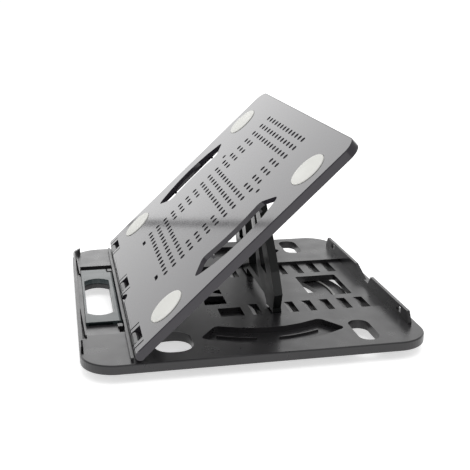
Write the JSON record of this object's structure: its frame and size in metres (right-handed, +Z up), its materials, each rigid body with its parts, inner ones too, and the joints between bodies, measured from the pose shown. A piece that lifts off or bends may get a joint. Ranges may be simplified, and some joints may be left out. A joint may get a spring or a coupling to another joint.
{
  "type": "laptop stand",
  "caption": "Folding laptop stand: vented top plate tilted on a strut in a rack, over a flat base that turns on a round foot, with a flip-up front flap.",
  "frame": {"origin": "on the table, under the middle of the base's outline", "axes": "+X from the front edge to the rear, +Y across to the far side, +Z up"},
  "size_m": [0.268, 0.28, 0.1707],
  "materials": {
    "black_plastic": "satin moulded ABS",
    "flap_plastic": "satin moulded ABS",
    "strut_plastic": "glossy moulded ABS",
    "silicone": "soft off-white silicone",
    "rubber": "matt",
    "steel": "ground pin",
    "acetal": "slippery moulded ring"
  },
  "bodies": {
    "foot": {"turntable": "black_plastic", "glide_ring": "acetal", "rubber_foot_1": "rubber", "rubber_foot_2": "rubber", "rubber_foot_3": "rubber", "rubber_foot_4": "rubber"},
    "base": {"base_shell": "black_plastic", "swivel_cap": "black_plastic", "swivel_screw": "steel", "hinge_pin_near": "steel", "hinge_pin_middle": "steel", "hinge_pin_far": "steel", "flap_pin_near": "black_plastic", "flap_pin_far": "black_plastic"},
    "plate": {"top_plate": "black_plastic", "pad_front_near": "silicone", "pad_front_far": "silicone", "pad_rear_near": "silicone", "pad_rear_far": "silicone", "strut_pin_near": "steel", "strut_pin_far": "steel"},
    "strut": {"strut": "strut_plastic"},
    "flap": {"front_flap": "flap_plastic"}
  },
  "joints": [
    {"name": "base_swivel", "type": "hinge", "parent": "foot", "child": "base", "pos_m": [0.0165, 0, 0.0145], "axis": [0, 0, 1], "continuous": true},
    {"name": "plate_tilt", "type": "hinge", "parent": "base", "child": "plate", "pos_m": [-0.0917, 0, 0.0203], "axis": [0, -1, 0], "range_deg": [0, 53]},
    {"name": "strut_fold", "type": "hinge", "parent": "plate", "child": "strut", "pos_m": [0.01608, 0, 0.11369], "axis": [0, 1, 0], "range_deg": [0, 53.2]},
    {"name": "flap_hinge", "type": "hinge", "parent": "base", "child": "flap", "pos_m": [-0.1008, 0, 0.0139], "axis": [0, 1, 0], "range_deg": [0, 88]}
  ],
  "couplings": [
    {"joint": "strut_fold", "follows": "plate_tilt", "ratio": 1}
  ]
}
